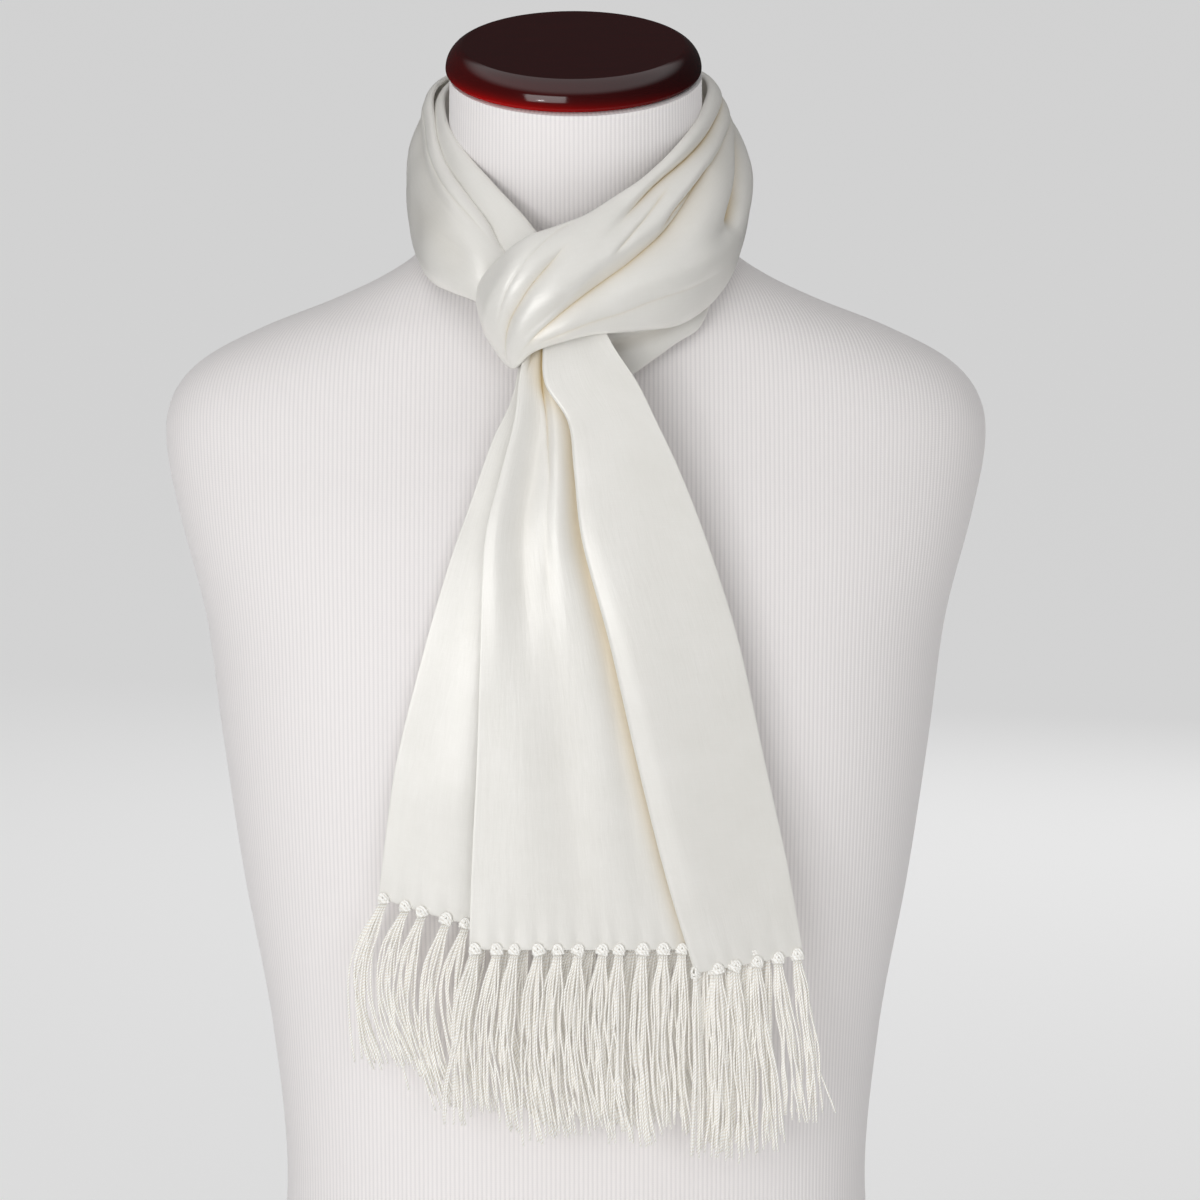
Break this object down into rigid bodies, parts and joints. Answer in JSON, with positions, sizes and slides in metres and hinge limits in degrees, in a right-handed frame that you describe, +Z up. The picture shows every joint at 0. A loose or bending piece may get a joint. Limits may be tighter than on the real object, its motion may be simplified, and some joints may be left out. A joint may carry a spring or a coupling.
{
  "type": "tuxedo scarf on dress form",
  "caption": "Ivory silk satin evening scarf with knotted fringe, looped round the neck of a limbless dress form.",
  "frame": {"origin": "middle of the dress form's flat base", "axes": "+Z up, the front faces -Y, +X to the right of someone who looks at the front"},
  "size_m": [0.408, 0.2569, 0.8064],
  "materials": {
    "satin": "ivory silk satin, soft sheen",
    "fringe_yarn": "ivory twisted silk cord",
    "form_cover": "white fine-ribbed jersey",
    "cap_lacquer": "dark mahogany lacquer, high gloss"
  },
  "bodies": {
    "root": {"neck_wrap": "satin", "inner_wrap": "satin", "under_strand": "satin", "front_end": "satin", "back_end": "satin", "fringe_front": "fringe_yarn", "fringe_back": "fringe_yarn", "dress_form": "form_cover", "neck_cap": "cap_lacquer"}
  },
  "joints": []
}
